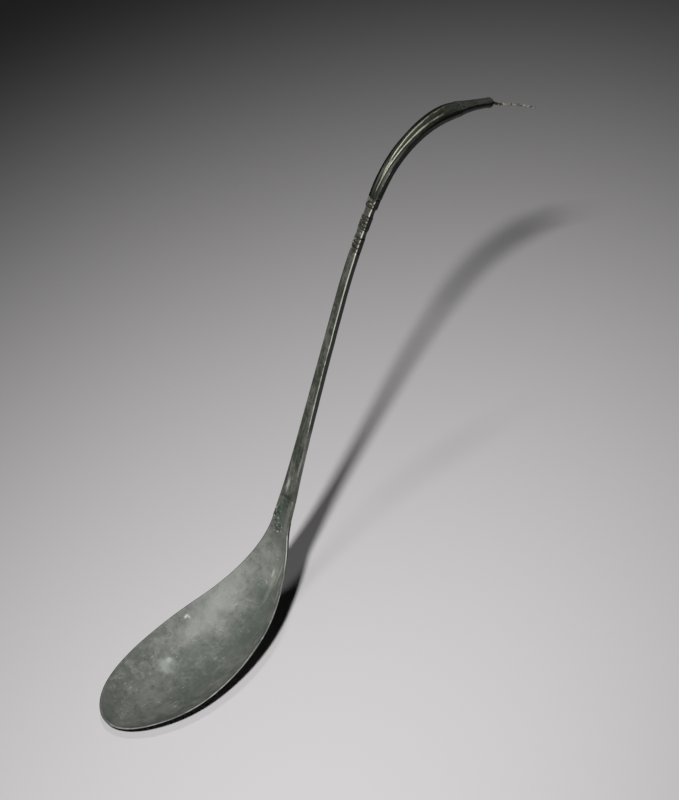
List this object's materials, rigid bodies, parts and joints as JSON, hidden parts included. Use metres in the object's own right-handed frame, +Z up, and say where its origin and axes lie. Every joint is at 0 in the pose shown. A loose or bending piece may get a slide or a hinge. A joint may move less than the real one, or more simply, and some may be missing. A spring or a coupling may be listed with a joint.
{
  "type": "spoon",
  "caption": "Long-handled bronze spoon: leaf-shaped bowl, slender faceted shank with a ringed collar, and an over-curving bundle of strands that ends in a thin bare tip.",
  "frame": {"origin": "centre of the small flat under the bowl, where the spoon meets the surface it rests on", "axes": "+X runs from the bowl towards the handle's end, +Z is up, and the spoon is symmetrical about the XZ plane"},
  "size_m": [0.1948, 0.0348, 0.1683],
  "materials": {
    "bowl_bronze": "dull grey-green patina on bronze, thin bright lip",
    "rod_bronze": "dark olive patina, worn smooth and slightly glossy",
    "ring_bronze": "dark patina, edges worn bright",
    "strand_bronze": "olive-black patina, crests worn bright",
    "sheath_bronze": "dull dark-grey patina",
    "solder": "dull grey-green hard solder"
  },
  "bodies": {
    "root": {"bowl": "bowl_bronze", "solder_bead": "solder", "handle_rod": "rod_bronze", "lower_ring_1": "ring_bronze", "lower_ring_2": "ring_bronze", "lower_ring_3": "ring_bronze", "middle_ring_1": "ring_bronze", "middle_ring_2": "ring_bronze", "middle_ring_3": "ring_bronze", "middle_ring_4": "ring_bronze", "upper_ring_1": "ring_bronze", "upper_ring_2": "ring_bronze", "strand_1": "strand_bronze", "strand_2": "strand_bronze", "strand_3": "strand_bronze", "strand_4": "strand_bronze", "strand_5": "strand_bronze", "strand_6": "strand_bronze", "strand_7": "strand_bronze", "strand_8": "strand_bronze", "strand_9": "strand_bronze", "end_sheath": "sheath_bronze"}
  },
  "joints": []
}
